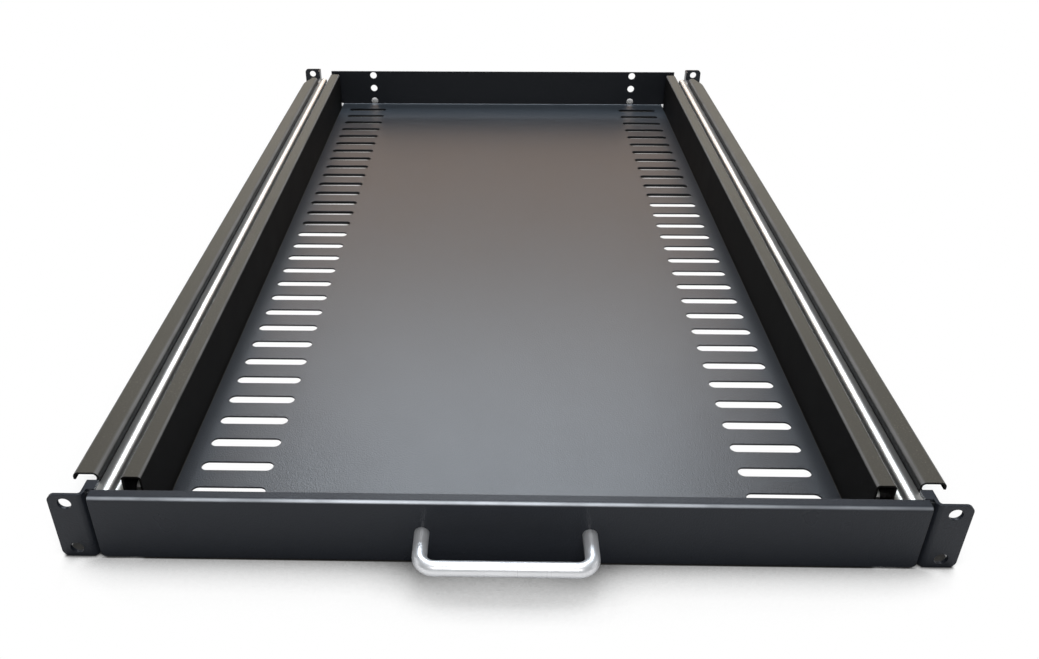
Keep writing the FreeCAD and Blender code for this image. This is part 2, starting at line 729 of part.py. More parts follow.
# Floor with a front wall behind the panel and a rear wall, folded from one slotted sheet
def make_pan():
    body = new_body("tray_pan")
    front_top = "floor_low + front_wall"
    path = [
        ("panel_back", front_top),
        ("panel_back", "floor_low"),
        ("rear_wall_back", "floor_low"),
        ("rear_wall_back", "rear_wall_top"),
    ]
    sketch = new_sketch(body, "pan_side", "YZ_Plane")
    draw_outline(sketch, bent_sheet(path, "tray_sheet", "tray_bend"))
    add_pad(body, sketch, "2 * half_floor", centred=True)
    # the rear wall is as wide as the tray, and closes the ends of the side channels
    wall = new_sketch(body, "rear_wall", "XZ_Plane", "-tray_back")
    wall_low = "floor_low + tray_bend + tray_sheet"
    draw_outline(wall, rectangle("-half_tray", wall_low, "half_tray", "rear_wall_top"))
    add_pad(body, wall, "tray_sheet", True)
    slots = new_sketch(body, "floor_slot", "XY_Plane", "floor_low - fit_gap")
    for across in ("-slot_x", "slot_x"):
        draw_outline(slots, slot_outline(across, "slot_first", "slot_length", "slot_width"))
    cut = add_pocket(body, slots, "tray_sheet + 2 * fit_gap", True)
    add_row(body, cut, "Y_Axis", "slot_pitch", "slot_count")
    holes = new_sketch(body, "rear_holes", "XZ_Plane", "-(tray_back - tray_bend)")
    for across in ("-rear_hole_x", "rear_hole_x"):
        for row in range(3):
            draw_circle(holes, across, f"rear_hole_low + {row} * rear_hole_pitch", "rear_hole")
    add_pocket(body, holes, "tray_bend + tray_sheet + fit_gap")
    bolts = new_sketch(body, "front_wall_bores", "XZ_Plane", "-(panel_back - fit_gap)")
    for across in ("-handle_x", "handle_x"):
        draw_circle(bolts, across, "handle_lift", "2 * screw_bore")
    add_pocket(body, bolts, "tray_sheet + 2 * fit_gap")
    return body


# Side channel: a foot under the floor, the tray's wall, the top, and the skirt that carries the slide
def make_channel():
    body = new_body("right_tray_channel")
    path = [
        ("wall_back - tray_sheet - channel_foot", "foot_low"),
        ("wall_back", "foot_low"),
        ("wall_back", "tray_top - tray_sheet"),
        ("skirt_face", "tray_top - tray_sheet"),
        ("skirt_face", "tray_top - skirt_height"),
    ]
    sketch = new_sketch(body, "channel_section", "XZ_Plane", "-channel_front")
    draw_outline(sketch, bent_sheet(path, "tray_sheet", "tray_bend"))
    add_pad(body, sketch, "channel_end - channel_front", True)
    bore_row(body, "skirt_bores", "skirt_face - fit_gap", "tray_sheet + 2 * fit_gap",
             "inner_screw_first", "inner_screw_pitch", "screws_per_slide", "screw_bore")
    return body


# Front panel with a folded top edge and rounded lower corners
def make_panel():
    body = new_body("front_panel")
    front = "-panel_stand"
    path = [(f"{front} + panel_flange", "panel_top"), (front, "panel_top"), (front, "panel_low")]
    sketch = new_sketch(body, "panel_side", "YZ_Plane")
    draw_outline(sketch, bent_sheet(path, "panel_sheet", "panel_bend"))
    add_pad(body, sketch, "2 * half_panel", centred=True)
    bores = new_sketch(body, "panel_bores", "XZ_Plane", "panel_stand + fit_gap")
    for across in ("-handle_x", "handle_x"):
        draw_circle(bores, across, "handle_lift", "2 * screw_bore")
    add_pocket(body, bores, "panel_sheet + 2 * fit_gap")
    round_edges(body, "y", [("half_panel", "panel_low"), ("-half_panel", "panel_low")], "panel_corner")
    return body


# Bow handle: a round rod swept along two legs, two bends and the bar
def make_handle():
    body = new_body("pull_handle")
    path = new_sketch(body, "handle_path", "XY_Plane", "handle_lift")
    corner = "handle_bar + handle_bend"
    reach = "handle_x - handle_bend"
    line = [
        Part.LineSegment(spot("-handle_x", "-panel_stand"), spot("-handle_x", corner)),
        Part.LineSegment(spot("-(" + reach + ")", "handle_bar"), spot(reach, "handle_bar")),
        Part.LineSegment(spot("handle_x", corner), spot("handle_x", "-panel_stand")),
    ]
    for piece in line:
        path.addGeometry(piece)
    ends = [(0, 1, "-handle_x", "-panel_stand"), (0, 2, "-handle_x", corner),
            (1, 1, "-(" + reach + ")", "handle_bar"), (1, 2, reach, "handle_bar"),
            (2, 1, "handle_x", corner), (2, 2, "handle_x", "-panel_stand")]
    for geometry, point, across, up in ends:
        fix_point(path, geometry, point, across, up)
    bends = [("-(" + reach + ")", math.pi, 1.5 * math.pi, (0, 2), (1, 1)),
             (reach, 1.5 * math.pi, 2 * math.pi, (1, 2), (2, 1))]
    for across, start, finish, before, after in bends:
        circle = Part.Circle(spot(across, corner), FreeCAD.Vector(0, 0, 1), size("handle_bend"))
        arc = path.addGeometry(Part.ArcOfCircle(circle, start, finish))
        path.addConstraint(Sketcher.Constraint("Coincident", before[0], before[1], arc, 1))
        path.addConstraint(Sketcher.Constraint("Coincident", arc, 2, after[0], after[1]))
        fix(path, "DistanceX", arc, 3, across)
    round_rod = new_sketch(body, "handle_round", "XZ_Plane", "panel_stand")
    draw_circle(round_rod, "-handle_x", "handle_lift", "handle_rod")
    pipe = body.newObject("PartDesign::AdditivePipe", "handle_pipe")
    pipe.Profile = round_rod
    pipe.Spine = path
    doc.recompute()
    threads = new_sketch(body, "handle_threads", "XZ_Plane", "panel_stand")
    for across in ("-handle_x", "handle_x"):
        draw_circle(threads, across, "handle_lift", "2 * screw_bore")
    add_pocket(body, threads, "handle_thread", True)
    return body


def spot(across, up):
    return FreeCAD.Vector(size(across), size(up), 0)


# A turned piece about an axis along Y behind each leg of the handle; the outline is (radius, along Y)
def handle_pair(label, corners):
    body = new_body("right_" + label)
    sketch = new_sketch(body, label + "_half", "XY_Plane", "handle_lift")
    draw_outline(sketch, [(f"handle_x + ({radius})", along) for radius, along in corners])
    axis = sketch.addGeometry(Part.LineSegment(
        spot("handle_x", "-panel_stand"), spot("handle_x", "front_wall_back")), True)
    fix_point(sketch, axis, 1, "handle_x", "-panel_stand")
    fix_point(sketch, axis, 2, "handle_x", "front_wall_back")
    turned = body.newObject("PartDesign::Revolution", label + "_turned")
    turned.Profile = sketch
    turned.ReferenceAxis = (sketch, ["Axis0"])
    turned.Angle = 360
    doc.recompute()
    return both_sides(body, label)


def make_handle_fasteners():
    seat = "front_wall_back"
    head = f"{seat} + washer_thick"
    washers = handle_pair("handle_washers", [
        ("screw_bore", seat), ("washer_size / 2", seat), ("washer_size / 2", head), ("screw_bore", head),
    ])
    top = f"{head} + screw_head_thick"
    tip = "-panel_stand - handle_thread + 2 * fit_gap"
    screws = handle_pair("handle_screws", [
        ("0", tip), ("screw_size / 2", tip), ("screw_size / 2", head), ("screw_head / 2", head),
        ("screw_head / 2", top), ("0", top),
    ])
    return [washers, screws]


# Pan-head screws through the tray's member and the skirt, with nuts inside the side channel
def make_inner_fasteners():
    nuts = make_nuts("slide_inner_nuts", "skirt_face - nut_thick", "nut_thick", "nut_flats", "screw_bore",
                     "inner_screw_first", "inner_screw_pitch", "screws_per_slide")
    head = "inner_web_back + screw_head_thick"
    tip = "skirt_face - nut_thick"
    screws = turned_row("slide_inner_screws", [
        (tip, "0"), (head, "0"), (head, "screw_head / 2"), ("inner_web_back", "screw_head / 2"),
        ("inner_web_back", "screw_size / 2"), (tip, "screw_size / 2"),
    ], "inner_screw_first", "inner_screw_pitch", "screws_per_slide")
    return [nuts, both_sides(screws, "slide_inner_screws")]


# Countersunk screws, flush in the fixed member's web, with nuts on the outside of the rail
def make_outer_fasteners():
    nuts = make_nuts("slide_outer_nuts", "rail_back_face", "nut_thick", "nut_flats", "screw_bore",
                     "outer_screw_first", "outer_screw_pitch", "screws_per_slide")
    tip = "rail_back_face + nut_thick"
    screws = turned_row("slide_outer_screws", [
        ("outer_web", "0"), (tip, "0"), (tip, "screw_size / 2"), ("rail_face", "screw_size / 2"),
        ("outer_web", "screw_head / 2"),
    ], "outer_screw_first", "outer_screw_pitch", "screws_per_slide")
    return [nuts, both_sides(screws, "slide_outer_screws")]


# Countersinks in the fixed member's web, each a little wider than its screw head
def sink_outer_bores(body):
    sketch = new_sketch(body, "countersink", "XY_Plane")
    first = "outer_screw_first"
    draw_outline(sketch, [
        ("outer_web - fit_gap", first),
        ("rail_face + fit_gap", first),
        ("rail_face + fit_gap", f"{first} + screw_bore"),
        ("rail_face", f"{first} + screw_bore"),
        ("outer_web", f"{first} + screw_head / 2 + fit_gap"),
        ("outer_web - fit_gap", f"{first} + screw_head / 2 + fit_gap"),
    ])
    axis = sketch.addGeometry(Part.LineSegment(
        spot("outer_web", first), spot("rail_face", first)), True)
    fix_point(sketch, axis, 1, "outer_web", first)
    fix_point(sketch, axis, 2, "rail_face", first)
    groove = body.newObject("PartDesign::Groove", "countersink_groove")
    groove.Profile = sketch
    groove.ReferenceAxis = (sketch, ["Axis0"])
    groove.Angle = 360
    doc.recompute()
    add_row(body, groove, "Y_Axis", "outer_screw_pitch", "screws_per_slide")


# A spot above the middle line and its mirror below
def level_pair(across, up):
    return [(across, up), (across, f"-({up})")]


def make_slides():
    outer = make_member("right_slide_outer", outer_section(), "slide_front", "slide_length")
    round_edges(outer, "y", level_pair("rail_face", "outer_slope_top"), "slide_sheet")
    sink_outer_bores(outer)
    middle = make_member("right_slide_middle", middle_section(), "middle_front", "middle_end - middle_front")
    round_edges(middle, "y", level_pair("middle_web_back", "middle_shelf"), "slide_sheet")
    inner = make_member("right_slide_inner", inner_section(), "slide_front", "slide_length")
    round_edges(inner, "y", level_pair("half_tray", "inner_shelf"), "slide_sheet")
    bore_row(inner, "inner_member_bores", "half_tray - fit_gap", "slide_sheet + 2 * fit_gap",
             "inner_screw_first", "inner_screw_pitch", "screws_per_slide", "screw_bore")
    outer_cage = make_cage("right_outer_cage", "middle_web_back + cage_gap", "outer_ball_x + ball_size / 4",
                           "outer_ball_z - cage_gap", "outer_ball_x")
    inner_cage = make_cage("right_inner_cage", "middle_web - cage_gap - cage_sheet",
                           "inner_ball_x + ball_size / 4", "inner_ball_z + cage_sheet / 2", "inner_ball_x")
    return [outer, middle, inner, outer_cage, inner_cage]


def make_ball_sets():
    outer = make_balls("right_outer_balls", "outer_ball_x", "outer_ball_z")
    inner = make_balls("right_inner_balls", "inner_ball_x", "inner_ball_z")
    return {"right_outer_balls": outer, "right_inner_balls": inner}


def check_document(nodes):
    doc.recompute()
    for part in doc.Objects:
        if "Invalid" in part.State or "Error" in part.State:
            raise RuntimeError(f"{part.Name} failed: {part.State}")
    for label, node in nodes.items():
        if node.Shape.isNull() or not node.Shape.isValid() or not node.Shape.Solids:
            raise RuntimeError(f"{label} has no valid solid")


def main():
    fill_sheets()
    handed = [make_rail(), make_front_ear(), make_rear_ear(), make_channel(), make_bumper()]
    handed += make_slides()
    nodes = {piece.Label: piece for piece in handed}
    nodes.update(make_ball_sets())
    for label in list(nodes):
        left = label.replace("right_", "left_")
        nodes[left] = mirrored(nodes[label], left)
    single = [make_pan(), make_panel(), make_handle()]
    single += make_handle_fasteners() + make_inner_fasteners() + make_outer_fasteners()
    single.append(make_studs("front_ear_studs", "front_stud_first", "front_stud_pitch"))
    single.append(make_studs("rear_ear_studs", "rear_stud_first", "rear_stud_pitch"))
    for label, first, pitch in (("front_ear_nuts", "front_stud_first", "front_stud_pitch"),
                                ("rear_ear_nuts", "rear_stud_first", "rear_stud_pitch")):
        single.append(make_nuts(label, "leg_back_face", "stud_nut_thick", "stud_nut_flats", "stud_bore",
                                first, pitch, "studs_per_leg"))
    nodes.update({piece.Label: piece for piece in single})
    check_document(nodes)
    os.makedirs("parts", exist_ok=True)
    for label, node in sorted(nodes.items()):
        node.Shape.exportStep(f"parts/{label}.step")
        print(label, len(node.Shape.Solids), round(node.Shape.Volume, 1))


main()
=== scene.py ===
import bpy
import bmesh
import json
import math
from mathutils import Matrix, Vector


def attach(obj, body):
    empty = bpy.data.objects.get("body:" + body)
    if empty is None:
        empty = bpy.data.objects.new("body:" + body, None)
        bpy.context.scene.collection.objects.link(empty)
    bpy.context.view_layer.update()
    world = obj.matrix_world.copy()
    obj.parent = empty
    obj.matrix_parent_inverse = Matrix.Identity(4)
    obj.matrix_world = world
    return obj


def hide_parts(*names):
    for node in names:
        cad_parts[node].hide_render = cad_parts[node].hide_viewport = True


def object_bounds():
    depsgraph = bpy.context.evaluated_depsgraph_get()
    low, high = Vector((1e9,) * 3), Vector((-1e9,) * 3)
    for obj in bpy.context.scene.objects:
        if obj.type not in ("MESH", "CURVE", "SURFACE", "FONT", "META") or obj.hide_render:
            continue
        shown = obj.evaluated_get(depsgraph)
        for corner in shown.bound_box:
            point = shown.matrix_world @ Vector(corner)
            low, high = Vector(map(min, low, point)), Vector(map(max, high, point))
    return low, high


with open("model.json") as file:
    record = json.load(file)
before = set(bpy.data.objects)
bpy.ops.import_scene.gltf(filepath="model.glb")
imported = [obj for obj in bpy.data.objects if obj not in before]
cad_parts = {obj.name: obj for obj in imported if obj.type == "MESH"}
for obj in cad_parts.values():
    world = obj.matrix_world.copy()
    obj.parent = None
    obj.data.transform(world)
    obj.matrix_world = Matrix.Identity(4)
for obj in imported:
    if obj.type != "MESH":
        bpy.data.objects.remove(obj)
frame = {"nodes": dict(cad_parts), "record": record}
nodes = frame["nodes"]
cadBox = [list(corner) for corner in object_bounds()]
print("frame loaded:", len(nodes), "nodes")


# node helpers

def addNode(tree, kind, **settings):
    node = tree.nodes.new(kind)
    for name, value in settings.items():
        setattr(node, name, value)
    return node


def feed(tree, value, socket):  # links an output, or sets a plain value
    if hasattr(value, "is_output"):
        tree.links.new(value, socket)
    else:
        socket.default_value = value


def calc(tree, operation, first, second=0.0, clamp=False):
    node = addNode(tree, "ShaderNodeMath", operation=operation, use_clamp=clamp)
    feed(tree, first, node.inputs[0])
    feed(tree, second, node.inputs[1])
    return node.outputs[0]


def times(tree, first, second):
    return calc(tree, "MULTIPLY", first, second)


def remap(tree, value, span, outLow, outHigh):
    node = addNode(tree, "ShaderNodeMapRange", clamp=True)
    for socket, item in zip(node.inputs, (value, span[0], span[1], outLow, outHigh)):
        feed(tree, item, socket)
    return node.outputs[0]


def rise(tree, value, span):  # 0 at the first end of the span and 1 at the other
    return remap(tree, value, span, 0.0, 1.0)


def fall(tree, value, span):  # 1 at the first end of the span and 0 at the other
    return remap(tree, value, span, 1.0, 0.0)


def mixColor(tree, factor, first, second):
    node = addNode(tree, "ShaderNodeMix", data_type="RGBA")
    feed(tree, factor, node.inputs[0])
    feed(tree, first, node.inputs[6])
    feed(tree, second, node.inputs[7])
    return node.outputs[2]


def axes(tree, vector):
    node = addNode(tree, "ShaderNodeSeparateXYZ")
    feed(tree, vector, node.inputs[0])
    return node.outputs


def noise(tree, vector, scale, detail, roughness=0.5):
    node = addNode(tree, "ShaderNodeTexNoise", noise_dimensions="3D")
    feed(tree, vector, node.inputs["Vector"])
    feed(tree, scale, node.inputs["Scale"])
    node.inputs["Detail"].default_value = detail
    node.inputs["Roughness"].default_value = roughness
    return node.outputs["Fac"]


def stretch(tree, vector, factors, turn=0.0):
    node = addNode(tree, "ShaderNodeMapping", vector_type="POINT")
    feed(tree, vector, node.inputs["Vector"])
    node.inputs["Rotation"].default_value = (0.0, 0.0, turn)
    node.inputs["Scale"].default_value = factors
    return node.outputs["Vector"]


def newGroup(name, inputs, outputs):
    group = bpy.data.node_groups.new(name, "ShaderNodeTree")
    for socketName, kind, value in inputs:
        socket = group.interface.new_socket(name=socketName, in_out="INPUT", socket_type=kind)
        if value is not None:
            socket.default_value = value
    for socketName in outputs:
        group.interface.new_socket(name=socketName, in_out="OUTPUT", socket_type="NodeSocketFloat")
    return group, group.nodes.new("NodeGroupInput").outputs, group.nodes.new("NodeGroupOutput").inputs


def useGroup(tree, group, **values):
    node = addNode(tree, "ShaderNodeGroup", node_tree=group)
    for name, value in values.items():
        feed(tree, value, node.inputs[name])
    return node.outputs


# shared surface effects

peelDial = {"wave": 1000.0, "speckle": 2200.0, "speckleShare": 0.35}


def makePeelGroup(dial):  # the soft waviness and fine speckle of baked powder coat
    group, given, out = newGroup(
        "powderPeel",
        [("Vector", "NodeSocketVector", None), ("Wave", "NodeSocketFloat", dial["wave"]),
         ("Speckle", "NodeSocketFloat", dial["speckle"])],
        ["Height", "Grain"])
    wave = noise(group, given["Vector"], given["Wave"], 1.0)
    speckle = noise(group, given["Vector"], given["Speckle"], 2.0)
    feed(group, calc(group, "ADD", wave, times(group, speckle, dial["speckleShare"])), out["Height"])
    feed(group, speckle, out["Grain"])
    return group


dustDial = {
    "film": 0.2,
    "patch": 14.0,
    "patchSpan": (0.4, 0.75),
    "speck": 900.0,
    "speckSpan": (0.6, 0.85),
    "facing": (0.5, 1.0),  # how far up a face has to look
}


def makeDustAndSheenGroup(dial):  # pale colour on faces that look up: soft patches of dust specks, and an even film that, where it is thick, is a painted sheen
    group, given, out = newGroup(
        "dustAndTopSheen",
        [("Vector", "NodeSocketVector", None), ("Normal", "NodeSocketVector", None),
         ("Film", "NodeSocketFloat", dial["film"]), ("Patch", "NodeSocketFloat", dial["patch"])],
        ["Mask"])
    up = rise(group, axes(group, given["Normal"])[2], dial["facing"])
    patch = rise(group, noise(group, given["Vector"], given["Patch"], 4.0, 0.6), dial["patchSpan"])
    specks = rise(group, noise(group, given["Vector"], dial["speck"], 1.0), dial["speckSpan"])
    layer = calc(group, "ADD", given["Film"], times(group, patch, specks), clamp=True)
    feed(group, times(group, up, layer), out["Mask"])
    return group


scratchDial = {
    "amount": 0.5,
    "lines": ((0.35, (2600.0, 22.0, 22.0)), (-1.05, (22.0, 2100.0, 30.0))),  # turn and scale of each
    "lineSpan": (0.74, 0.8),
    "patch": 9.0,
    "patchSpan": (0.5, 0.68),
}


def makeScratchGroup(dial):  # thin stray scratches in two directions, broken up by patches
    group, given, out = newGroup(
        "strayScratches",
        [("Vector", "NodeSocketVector", None), ("Amount", "NodeSocketFloat", dial["amount"])],
        ["Mask"])
    first, second = [rise(group, noise(group, stretch(group, given["Vector"], factors, turn), 1.0, 0.0),
                          dial["lineSpan"]) for turn, factors in dial["lines"]]
    patch = rise(group, noise(group, given["Vector"], dial["patch"], 2.0), dial["patchSpan"])
    seen = times(group, calc(group, "MAXIMUM", first, second), patch)
    feed(group, times(group, seen, given["Amount"]), out["Mask"])
    return group


wearDial = {"patch": 60.0, "patchSpan": (0.48, 0.72)}


def makeWearGroup(dial):  # rubbed edges: the edge mask broken up by noise
    group, given, out = newGroup(
        "rubbedEdge",
        [("Vector", "NodeSocketVector", None), ("Edge", "NodeSocketFloat", 0.0),
         ("Patch", "NodeSocketFloat", dial["patch"])],
        ["Mask"])
    patch = rise(group, noise(group, given["Vector"], given["Patch"], 5.0, 0.65), dial["patchSpan"])
    feed(group, times(group, given["Edge"], patch), out["Mask"])
    return group


streakDial = {"fine": (1800.0, 9.0, 1800.0), "cloud": 26.0}


def makeStreakGroup(dial):  # long streaks along the rolling direction of drawn steel
    group, given, out = newGroup(
        "rolledStreaks",
        [("Vector", "NodeSocketVector", None)],
        ["Streak", "Cloud"])
    feed(group, noise(group, stretch(group, given["Vector"], dial["fine"]), 1.0, 3.0), out["Streak"])
    feed(group, noise(group, given["Vector"], dial["cloud"], 3.0), out["Cloud"])
    return group


bendDial = {
    "round": (0.985, 0.82),  # the largest part of the normal, from flat faces to the middle of a bend
    "side": (0.1, 0.3),
    "up": (0.1, 0.5),
    "patch": 35.0,
    "patchSpan": (0.3, 0.6),
    "patchLow": 0.6,
}


def makeBendGroup(dial):  # 1 on the rounded bends of folded sheet that face up, broken up by noise, and 0 on its flat faces: the mask of a painted highlight
    group, given, out = newGroup(
        "sheetBend",
        [("Vector", "NodeSocketVector", None), ("Normal", "NodeSocketVector", None),
         ("Sideways", "NodeSocketFloat", 1.0)],
        ["Mask"])
    normal = axes(group, given["Normal"])
    sides = [calc(group, "ABSOLUTE", part) for part in normal]
    most = calc(group, "MAXIMUM", calc(group, "MAXIMUM", sides[0], sides[1]), sides[2])
    bendHighlight = rise(group, most, dial["round"])
    bendHighlight = times(group, bendHighlight, remap(group, sides[0], dial["side"], 1.0, given["Sideways"]))
    bendHighlight = times(group, bendHighlight, rise(group, normal[2], dial["up"]))
    patch = noise(group, given["Vector"], dial["patch"], 3.0)
    patch = remap(group, patch, dial["patchSpan"], dial["patchLow"], 1.0)
    feed(group, times(group, bendHighlight, patch), out["Mask"])
    return group


powderPeel = makePeelGroup(peelDial)
dustAndTopSheen = makeDustAndSheenGroup(dustDial)
strayScratches = makeScratchGroup(scratchDial)
rubbedEdge = makeWearGroup(wearDial)
sheetBend = makeBendGroup(bendDial)
rolledStreaks = makeStreakGroup(streakDial)
print("shared effects ready")


# materials

noiseSpan = (0.3, 0.7)  # most of a noise's values lie between these
cloudSpan = (0.35, 0.65)  # narrower, for clouds with more contrast


def newMaterial(name):
    material = bpy.data.materials.new(name)
    material.use_nodes = True
    tree = material.node_tree
    shader = tree.nodes["Principled BSDF"]
    place = addNode(tree, "ShaderNodeTexCoord").outputs["Object"]
    return material, tree, shader, place


def bothNormals(tree, radius):  # the normal with softened edges, and the true one
    soft = addNode(tree, "ShaderNodeBevel", samples=4)
    soft.inputs["Radius"].default_value = radius
    return soft.outputs[0], addNode(tree, "ShaderNodeNewGeometry").outputs["Normal"]


def edgeMask(tree, soft, true, sharpness):  # 1 on edges, where the soft normal leaves the true one
    product = addNode(tree, "ShaderNodeVectorMath", operation="DOT_PRODUCT")
    feed(tree, soft, product.inputs[0])
    feed(tree, true, product.inputs[1])
    return rise(tree, product.outputs["Value"], (1.0, 1.0 - sharpness))


def roughFrom(tree, value, dial):
    return remap(tree, value, noiseSpan, dial["roughLow"], dial["roughHigh"])


def addBump(tree, shader, height, strength, distance, normal=None):
    bump = addNode(tree, "ShaderNodeBump")
    bump.inputs["Strength"].default_value = strength
    bump.inputs["Distance"].default_value = distance
    feed(tree, height, bump.inputs["Height"])
    if normal is not None:
        feed(tree, normal, bump.inputs["Normal"])
    feed(tree, bump.outputs[0], shader.inputs["Normal"])


blackCoat = {
    "base": (0.0165, 0.0185, 0.0225, 1.0),
    "baseLift": (0.0205, 0.0225, 0.027, 1.0),
    "specular": 0.45,
    "roughLow": 0.30,
    "roughHigh": 0.32,
    "roughPatch": 30.0,
    "peelStrength": 0.25,
    "peelDistance": 0.0004,
    "edgeRadius": 0.0003,
    "edgeSharp": 0.25,
    "wearColor": (0.09, 0.088, 0.085, 1.0),
    # colour of dust on faces that look up; with a thick film, as on the rails and channels, it is also a
    # painted sheen that lightens their tops
    "dustAndSheenColor": (0.16, 0.155, 0.15, 1.0),
    "dustAndSheenShare": 0.06,
    "dustAndSheenFilm": 0.0,
    "dustRough": 0.04,
    "frontShadeShare": 0.0,  # painted shade: how much of the dust-and-sheen colour is taken off at the front
    "frontShadeDepths": (-0.05, 0.5),
    "hazeAndSheenShare": 1.0,  # a painted bluish sheen on the floor by the rear wall, where the coat is also rougher
    "paintedSheenColor": (0.050, 0.064, 0.080, 1.0),
    "hazeRough": 0.25,
    "hazeAndSheenDepths": (0.685, 0.738),
    "hazeAndSheenFacing": (0.2, 0.9),
    # the colour of a painted highlight laid on the upper bends of the sheet
    "bendHighlightColor": (0.23, 0.265, 0.31, 1.0),
    "bendSide": 0.0,  # 1 also paints the highlight on the bends that run from front to rear
    "bendFrom": -0.03,  # bends lower than this get no painted highlight
    "bendFade": 0.005,
    "bendPolish": 0.1,
    "bendMiddle": -0.04,  # the painted bend highlight is brightest here
    "bendSpread": (0.04, 0.2),
    "bendEnds": 1.0,  # the share of that painted highlight at their ends
    "scratchColor": (0.13, 0.13, 0.13, 1.0),
    "scratchAmount": 0.05,
}

# the panel and ears: a lighter, bluer copy of the black coat, painted light, with a near-white painted
# highlight on the top bend
frontCoat = dict(blackCoat, base=(0.0180, 0.0205, 0.0265, 1.0), baseLift=(0.0210, 0.0240, 0.0305, 1.0),
                 specular=0.22, roughLow=0.27, roughHigh=0.30, dustAndSheenShare=0.0, dustAndSheenFilm=1.0, dustRough=0.14,
                 hazeAndSheenShare=0.0, bendHighlightColor=(0.90, 0.94, 1.0, 1.0), bendEnds=0.32)

# the rails and channels: a darker copy of the black coat, painted shade, with a pale brown dust-and-sheen
# colour on their tops and a painted highlight on their bends
railCoat = dict(blackCoat, base=(0.0095, 0.0092, 0.0092, 1.0), baseLift=(0.0135, 0.013, 0.0128, 1.0),
                specular=0.07, roughLow=0.54, roughHigh=0.58, dustAndSheenColor=(0.244, 0.223, 0.181, 1.0),
                dustAndSheenShare=0.88, dustAndSheenFilm=0.6, frontShadeShare=0.5, hazeAndSheenShare=0.0, bendSide=1.0, bendFrom=0.0,
                bendHighlightColor=(0.17, 0.165, 0.16, 1.0))


def makeCoat(name, dial):
    material, tree, shader, place = newMaterial(name)
    soft, true = bothNormals(tree, dial["edgeRadius"])
    side, depth, height = axes(tree, place)
    peel = useGroup(tree, powderPeel, Vector=place)
    # dust and painted sheen on faces that look up, with less of it towards the front as painted shade
    dustAndSheen = useGroup(tree, dustAndTopSheen, Vector=place, Normal=true, Film=dial["dustAndSheenFilm"])["Mask"]
    dustAndSheen = times(tree, dustAndSheen, remap(tree, depth, dial["frontShadeDepths"], 1.0 - dial["frontShadeShare"], 1.0))
    # painted bluish sheen by the rear wall, on faces that look up
    hazeAndSheen = remap(tree, depth, dial["hazeAndSheenDepths"], 0.0, dial["hazeAndSheenShare"])
    hazeAndSheen = times(tree, hazeAndSheen, rise(tree, axes(tree, true)[2], dial["hazeAndSheenFacing"]))
    scratch = useGroup(tree, strayScratches, Vector=place, Amount=dial["scratchAmount"])["Mask"]
    edge = edgeMask(tree, soft, true, dial["edgeSharp"])
    wear = useGroup(tree, rubbedEdge, Vector=place, Edge=edge)["Mask"]
    # painted highlight on the bends that face up and lie high enough, strongest at bendMiddle and fading to
    # bendEnds
    bendHighlight = useGroup(tree, sheetBend, Vector=place, Normal=true, Sideways=dial["bendSide"])["Mask"]
    bendHighlight = times(tree, bendHighlight, rise(tree, height, (dial["bendFrom"], dial["bendFrom"] + dial["bendFade"])))
    away = calc(tree, "ABSOLUTE", calc(tree, "SUBTRACT", side, dial["bendMiddle"]))
    bendHighlight = times(tree, bendHighlight, remap(tree, away, dial["bendSpread"], 1.0, dial["bendEnds"]))
    color = mixColor(tree, peel["Grain"], dial["base"], dial["baseLift"])
    color = mixColor(tree, times(tree, dustAndSheen, dial["dustAndSheenShare"]), color, dial["dustAndSheenColor"])
    color = mixColor(tree, hazeAndSheen, color, dial["paintedSheenColor"])
    color = mixColor(tree, scratch, color, dial["scratchColor"])
    color = mixColor(tree, wear, color, dial["wearColor"])
    color = mixColor(tree, bendHighlight, color, dial["bendHighlightColor"])
    feed(tree, color, shader.inputs["Base Color"])
    shader.inputs["Specular IOR Level"].default_value = dial["specular"]
    rough = roughFrom(tree, noise(tree, place, dial["roughPatch"], 3.0), dial)
    rough = calc(tree, "ADD", rough, times(tree, dustAndSheen, dial["dustRough"]), clamp=True)
    rough = calc(tree, "SUBTRACT", rough, times(tree, bendHighlight, dial["bendPolish"]), clamp=True)
    rough = calc(tree, "ADD", rough, times(tree, hazeAndSheen, dial["hazeRough"]), clamp=True)
    feed(tree, rough, shader.inputs["Roughness"])
    addBump(tree, shader, peel["Height"], dial["peelStrength"], dial["peelDistance"], soft)
    return material


zincPlate = {
    "base": (0.74, 0.735, 0.71, 1.0),
    "tint": (0.64, 0.64, 0.62, 1.0),
    "roughLow": 0.38,
    "roughHigh": 0.46,
    "innerFaceColor": (0.52, 0.51, 0.47, 1.0),  # the races and the web inside the slide are darker and rougher
    "innerFaceRough": 0.45,
    "innerFaceSpan": (-0.003, -0.0005),  # place times facing, below 0 on faces that look inwards
    "webHeights": (0.010, 0.013),
    "streakStrength": 0.02,
    "streakDistance": 0.0002,
    "edgeRadius": 0.00025,
}


